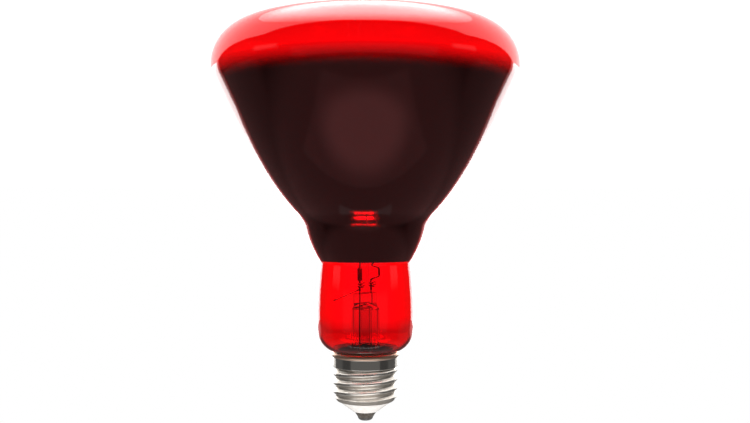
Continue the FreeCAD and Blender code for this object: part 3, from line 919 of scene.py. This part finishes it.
@dataclass
class ScrewCap:
    """Screw shell of formed sheet, opal glass insulator, end contact, solder and cement."""

    sheet: float = 0.35
    lip_width: float = 1.05
    crest_radius: float = 13.1
    # Painted shade: the thread's crests get this share of the band's brightness and gloss value, and its
    # hollows none, so hollows render darker.
    crest_lit_share: float = 0.3
    thread_depth: float = 1.1
    thread_pitch: float = 3.629
    thread_length: float = 13.4
    thread_start: float = 150.0
    band_ramp: float = 0.7
    band_length: float = 3.9
    band_radius: float = 13.2
    bead_radius: float = 1.45
    bead_half_angle: float = 50.0
    bead_rows: int = 24
    shell_fillet: float = 0.35
    ridge_start: Pair = (-0.3, 1.2)
    ridge_fade: float = 1.5
    ridge_blend: float = 0.08
    shell_columns: int = 240
    outer_step: float = 0.14
    inner_step: float = 0.42
    cement_bite: float = 0.05
    cement_gap: float = 0.02
    cement_reach: float = 14.2
    foot: float = field(init=False)
    root_radius: float = field(init=False)
    thread_top: float = field(init=False)
    band_foot: float = field(init=False)

    def __post_init__(self) -> None:
        """Takes the shell's foot from its solid, and works out its root and heights."""
        self.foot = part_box("screw_shell")[0].z / MM
        self.root_radius = self.crest_radius - self.thread_depth
        self.thread_top = self.foot + self.thread_length
        self.band_foot = self.thread_top + self.band_ramp

    def build(self, bulb: Bulb) -> None:
        """Makes the cap's pieces.

        Args:
            bulb: The bulb whose tail the cap holds.
        """
        self.build_shell()
        self.build_cement(bulb)
        dress("cap_insulator", CAP_GLASS)
        dress("centre_contact", CONTACT_BRASS)
        dress("contact_solder", SOLDER)
        dress("side_solder", SOLDER)

    def shell_outline(self, inset: float, step: float) -> Array:
        """Outline of the shell without its thread: lip, root, ramp, band and beaded rim.

        Args:
            inset: How far inside the sheet's outer face the outline is.
            step: Longest distance between points.

        Returns:
            Points (radius, height) from the lip upwards.
        """
        root = self.root_radius - inset
        band = self.band_radius - inset
        lip = self.lip_width - inset
        bead = self.bead_radius - inset
        swing = math.radians(self.bead_half_angle)
        bead_centre = self.band_radius - self.bead_radius * math.cos(swing)
        bead_middle = self.band_foot + self.band_length + self.bead_radius * math.sin(swing)
        bead_foot = math.acos((band - bead_centre) / bead)
        turn = np.linspace(-bead_foot, swing, self.bead_rows)
        rim = np.stack([bead_centre + bead * np.cos(turn), bead_middle + bead * np.sin(turn)], axis=-1)
        below = rounded([
            (self.root_radius - self.lip_width, self.foot + inset, 0.0),
            (root, self.foot + inset, lip),
            (root, self.thread_top, self.shell_fillet),
            (band, self.band_foot, self.shell_fillet),
            (rim[0, 0], rim[0, 1], 0.0),
        ], step)
        return np.concatenate([below[:-1], rim])

    def ridge(self, angle: Array, height: Array) -> Array:
        """Rise of the thread over its root.

        Equal arcs, round at the crest and hollow at the root, meet half way up each flank. The
        right-handed ridge fades in above the lip.

        Args:
            angle: Angles round the axis, in radians.
            height: Heights over the tip.

        Returns:
            Rise at each angle and height.
        """
        half = self.thread_pitch / 2
        arc = (half ** 2 + self.thread_depth ** 2) / (4 * self.thread_depth)
        turn = (height - self.foot) / self.thread_pitch
        turn = turn - (angle - math.radians(self.thread_start)) / (2 * math.pi)
        offset = np.abs((turn + 0.5) % 1.0 - 0.5) * self.thread_pitch
        crest = self.thread_depth - arc + np.sqrt(arc ** 2 - np.minimum(offset, half / 2) ** 2)
        hollow = arc - np.sqrt(arc ** 2 - np.minimum(half - offset, half / 2) ** 2)
        rise = np.where(offset < half / 2, crest, hollow)
        above_lip = height - self.foot - self.lip_width
        return rise * smooth_step(above_lip, self.ridge_start[0], self.ridge_start[1])

    def threaded(self, inset: float, step: float) -> tuple[Array, Array]:
        """Turns the shell's outline and lifts the thread on it.

        Args:
            inset: How far inside the sheet's outer face the surface is.
            step: Longest distance between points of the outline.

        Returns:
            The grid of points, and the rise at each of them.
        """
        outline = self.shell_outline(inset, step)
        rows = turned(outline, self.shell_columns)
        angle = np.broadcast_to(angles(self.shell_columns), rows.shape[:2])
        height = rows[..., 2]
        lifted = np.maximum(outline[:, :1] - self.root_radius + inset, 0.0)
        spare = self.ridge(angle, height) - lifted
        rise = (spare + np.sqrt(spare ** 2 + self.ridge_blend ** 2)) / 2
        fade = 1 - smooth_step(height, self.thread_top, self.thread_top + self.ridge_fade)
        rise = rise * fade * smooth_step(height, self.foot, self.foot + self.lip_width)
        rows[..., 0] += rise * np.cos(angle)
        rows[..., 1] += rise * np.sin(angle)
        return rows, rise

    def build_shell(self) -> None:
        """Makes the shell: outside up to the rim, and back down inside at the sheet's thickness."""
        outer, outer_rise = self.threaded(0.0, self.outer_step)
        inner, inner_rise = self.threaded(self.sheet, self.inner_step)
        rows = np.concatenate([outer, inner[::-1]])
        rise = np.concatenate([outer_rise, inner_rise[::-1]])
        height = rows[..., 2]
        marks = {
            # Painted shade: hollows of the thread get low values, which the finish turns darker.
            "crest": np.where(height > self.thread_top, 1.0, self.crest_lit_share * rise / self.thread_depth),
            "inside": np.concatenate([np.zeros_like(outer_rise), np.ones_like(inner_rise)]),
            "rim": height > self.band_foot + self.band_length,
        }
        place_piece("screw_shell", Skin(rows), CAP_SHELL, marks)

    def build_cement(self, bulb: Bulb) -> None:
        """Makes the ring of cement, squeezed up out of the rim onto the bulb's underside.

        Args:
            bulb: The bulb that sits in the cement and is wetted by it.
        """
        sheet = self.shell_outline(self.sheet + self.cement_gap, self.outer_step)
        wall = sheet[sheet[:, 1] > self.band_foot]
        underside = bulb.profile(self.cement_bite, UNDERSIDE)
        underside = underside[underside[:, 0] < self.cement_reach]
        foot = np.array([[underside[0, 0], wall[0, 1]]])
        outline = np.concatenate([foot, underside, wall[::-1]])
        place_piece("basing_cement", Skin(turned(outline, self.shell_columns)), CEMENT, {})


# The studio


@dataclass(frozen=True)
class Panel:
    """One lit or dim surface of the room, as the directions on the inner side of a few planes.

    An edge is a plane's direction (sideways, back, up) and the two values of its dot product with
    the looking direction between which the panel begins. Left and right are alike.
    """

    level: float
    edges: tuple[tuple[Triple, float, float], ...]

    def level_in(self, nodes: Nodes, direction: Socket) -> Socket:
        """Level in a direction: the panel's own inside its edges, and 0 outside.

        Args:
            nodes: The world's nodes.
            direction: Direction (sideways, back, up).

        Returns:
            The level's output.
        """
        level = self.level
        for plane, low, high in self.edges:
            side = nodes.vector("DOT_PRODUCT", direction, plane)["Value"]
            level = nodes.calculated("MULTIPLY", level, nodes.remapped(side, (low, high)))
        return level


@dataclass(frozen=True)
class SoftLamp:
    """A soft lamp or lit card that gloss shows, and that adds no light to matt surfaces.

    level is the brightness of its face, where 1 is white. It dims to edge_level of that toward
    its edge, from fade_start of its reach on. through_glass tells whether glass shows it too.
    Places on its face run from 0 to 1, so face_reach takes face_middle to its edge.
    """

    name: str
    shape: LampShape
    centre: Triple
    turn: Triple
    size: Pair
    level: float
    edge_level: float
    fade_start: float
    through_glass: bool = True
    face_middle: Triple = (0.5, 0.5, 0.0)
    face_reach: float = 0.5

    def build(self) -> None:
        """Makes the lamp."""
        data = bpy.data.lights.new(self.name, "AREA")
        data.shape = self.shape.value
        data.size, data.size_y = in_metres(self.size)
        filled = math.pi / 4 if self.shape is LampShape.ELLIPSE else 1.0
        data.energy = self.level * math.pi * filled * data.size * data.size_y
        data.use_nodes = True
        nodes = Nodes(data.node_tree)
        place = nodes.add("NewGeometry", {}).outputs["Parametric"]
        offset = nodes.vector("SUBTRACT", place, self.face_middle)["Vector"]
        reach = nodes.vector("LENGTH", offset)["Value"]
        fade = (self.fade_start * self.face_reach, self.face_reach)
        dimmed = nodes.remapped(reach, fade, (1.0, self.edge_level))
        nodes.feed(data.node_tree.nodes["Emission"], {"Strength": dimmed})
        lamp = bpy.data.objects.new(self.name, data)
        lamp.location = in_metres(self.centre)
        lamp.rotation_euler = [math.radians(value) for value in self.turn]
        lamp.visible_camera = False
        lamp.visible_diffuse = False
        lamp.visible_transmission = self.through_glass
        show(lamp)


FRONT_WALL = Panel(0.11, (((-0.57, -0.82, 0.0), 0.0, 0.06), ((0.0, 0.0, -1.0), -0.08, 0.0),
                          ((0.0, 0.0, 1.0), -0.4, -0.3)))
SIDE_WALLS = Panel(0.4, (((-0.06, -1.0, 0.0), 0.0, 0.05), ((0.52, 1.0, 0.0), 0.0, 0.05),
                         ((0.0, 0.0, 1.0), 0.0, 0.1), ((0.0, 0.0, -1.0), -0.24, -0.14)))
CEILING = Panel(1.4, (((-1.0, 0.746, 1.93), -0.04, 0.04), ((-1.0, 4.0, 2.56), -0.1, 0.1),
                      ((-0.05, 1.74, 1.0), -0.03, 0.03), ((0.0, 0.0, 1.0), -0.02, 0.05)))
BACK_FLOOR = Panel(0.1, (((0.0, 1.0, 0.0), -0.3, 0.1), ((0.0, 0.0, -1.0), 0.05, 0.2)))
BACKDROP_FOOT = Panel(0.65, (((0.0, 0.25, 1.0), -0.1, 0.0), ((-1.0, 1.1, 0.0), -0.05, 0.05)))
GROUND = Panel(0.15, (((0.0, 0.0, -1.0), 0.35, 0.6),))
ROOM = (FRONT_WALL, SIDE_WALLS, CEILING, BACK_FLOOR, BACKDROP_FOOT, GROUND)
LAMPS = (
    SoftLamp("backdrop_light", LampShape.RECTANGLE, (0.0, 1000.0, 60.0), (-90.0, 0.0, 0.0),
             (2100.0, 420.0), 2.9, 1.0, 0.9, through_glass=False),
    SoftLamp("low_card", LampShape.RECTANGLE, (0.0, -90.0, 60.0), (180.0, 0.0, 0.0),
             (140.0, 88.0), 0.25, 0.2, 0.5),
    SoftLamp("cap_card", LampShape.RECTANGLE, (0.0, -9.0, -5.0), (180.0, 0.0, 0.0),
             (90.0, 44.0), 0.2, 0.6, 0.4, through_glass=False),
    SoftLamp("front_card", LampShape.RECTANGLE, (0.0, -24.0, 8.0), (90.0, 0.0, 0.0),
             (44.0, 12.0), 1.8, 0.6, 0.5, through_glass=False),
    SoftLamp("overhead_light", LampShape.ELLIPSE, (0.0, 150.0, 850.0), (0.0, 0.0, 0.0),
             (1280.0, 1280.0), 6.9, 0.2, 0.45),
)


@dataclass
class Studio:
    """Bright backdrop behind, a soft light overhead, a dim room in front, and a pale floor.

    A ray whose count of mirrorings is under mirrored_from has met no mirror yet.
    """

    camera_place: Triple = (3.9, -368.0, 85.1)
    lens: float = 43.2
    sensor: float = 36.0
    floor_colour: str = "fafafa"
    floor_height: float = -900.0
    floor_width: float = 12000.0
    room_level: float = 0.045
    clear_foot: Pair = (-0.17, -0.11)
    clear_level: float = 1.3
    dome_level: float = 1.0
    mirrored_from: float = 0.5
    fill_place: Triple = (0.0, 200.0, 1500.0)
    fill_width: float = 1200.0
    fill_power: float = 9.0

    def build(self) -> None:
        """Makes the camera, the world, the floor and the lamps."""
        bpy.context.scene.view_settings.view_transform = "Standard"
        self.build_camera()
        self.build_world()
        self.build_floor()
        self.build_fill()
        for lamp in LAMPS:
            lamp.build()

    def build_camera(self) -> None:
        """Level camera in front of the lamp."""
        data = bpy.data.cameras.new("camera")
        data.lens = self.lens
        data.sensor_width = self.sensor
        camera = bpy.data.objects.new("camera", data)
        camera.location = in_metres(self.camera_place)
        camera.rotation_euler = (math.pi / 2, 0.0, 0.0)
        show(camera)
        bpy.context.scene.camera = camera

    def build_world(self) -> None:
        """Room by direction: white to the camera and behind clear glass, and as it lies to gloss."""
        world = bpy.data.worlds.new("studio")
        bpy.context.scene.world = world
        world.use_nodes = True
        world.node_tree.nodes.clear()
        nodes = Nodes(world.node_tree)
        axes = nodes.axes(nodes.add("TexCoord", {}).outputs["Generated"])
        sideways = nodes.calculated("ABSOLUTE", axes["X"])
        folded = nodes.add("CombineXYZ", {"X": sideways, "Y": axes["Y"], "Z": axes["Z"]}).outputs["Vector"]
        path = nodes.add("LightPath", {}).outputs
        clear = nodes.remapped(axes["Z"], self.clear_foot, (0.0, self.clear_level))
        unmirrored = nodes.calculated("LESS_THAN", path["Glossy Depth"], self.mirrored_from)
        through = nodes.calculated("MULTIPLY", unmirrored, path["Is Transmission Ray"])
        behind = nodes.calculated("MULTIPLY", clear, through)
        dome = nodes.calculated("MULTIPLY", path["Is Diffuse Ray"], self.dome_level)
        panels = [panel.level_in(nodes, folded) for panel in ROOM]
        level = self.room_level
        for other in (*panels, behind, dome, path["Is Camera Ray"]):
            level = nodes.calculated("MAXIMUM", level, other)
        background = nodes.add("Background", {"Color": linear(WHITE), "Strength": level})
        nodes.add("OutputWorld", {"Surface": background.outputs["Background"]})

    def build_floor(self) -> None:
        """Pale floor far under the lamp, white to the camera."""
        half = self.floor_width * MM / 2
        height = self.floor_height * MM
        mesh = bpy.data.meshes.new("floor")
        mesh.from_pydata([(-half, -half, height), (half, -half, height), (half, half, height),
                          (-half, half, height)], [], [(0, 1, 2, 3)])
        material = bpy.data.materials.new("pale_floor")
        material.use_nodes = True
        material.node_tree.nodes.clear()
        nodes = Nodes(material.node_tree)
        lit = nodes.add("BsdfDiffuse", {"Color": linear(self.floor_colour)}).outputs["BSDF"]
        glow = nodes.add("Emission", {"Color": linear(WHITE), "Strength": 1.0}).outputs["Emission"]
        camera_ray = nodes.add("LightPath", {}).outputs["Is Camera Ray"]
        either = nodes.add("MixShader", {0: camera_ray, 1: lit, 2: glow}).outputs["Shader"]
        nodes.add("OutputMaterial", {"Surface": either})
        mesh.materials.append(material)
        floor = bpy.data.objects.new("floor", mesh)
        floor.visible_glossy = False
        floor.visible_transmission = False
        show(floor)

    def build_fill(self) -> None:
        """Soft light from above for matt surfaces."""
        data = bpy.data.lights.new("fill_light", "AREA")
        data.size = self.fill_width * MM
        data.energy = self.fill_power
        lamp = bpy.data.objects.new("fill_light", data)
        lamp.location = in_metres(self.fill_place)
        lamp.visible_glossy = False
        show(lamp)


def main() -> None:
    """Builds the lamp's pieces in order, then the studio."""
    logging.basicConfig(level=logging.INFO, format="%(name)s: %(message)s")
    bulb = Bulb()
    bulb.build()
    Mount().build()
    FilamentRing().build()
    ScrewCap().build(bulb)
    Studio().build()


if __name__ == "__main__":
    main()
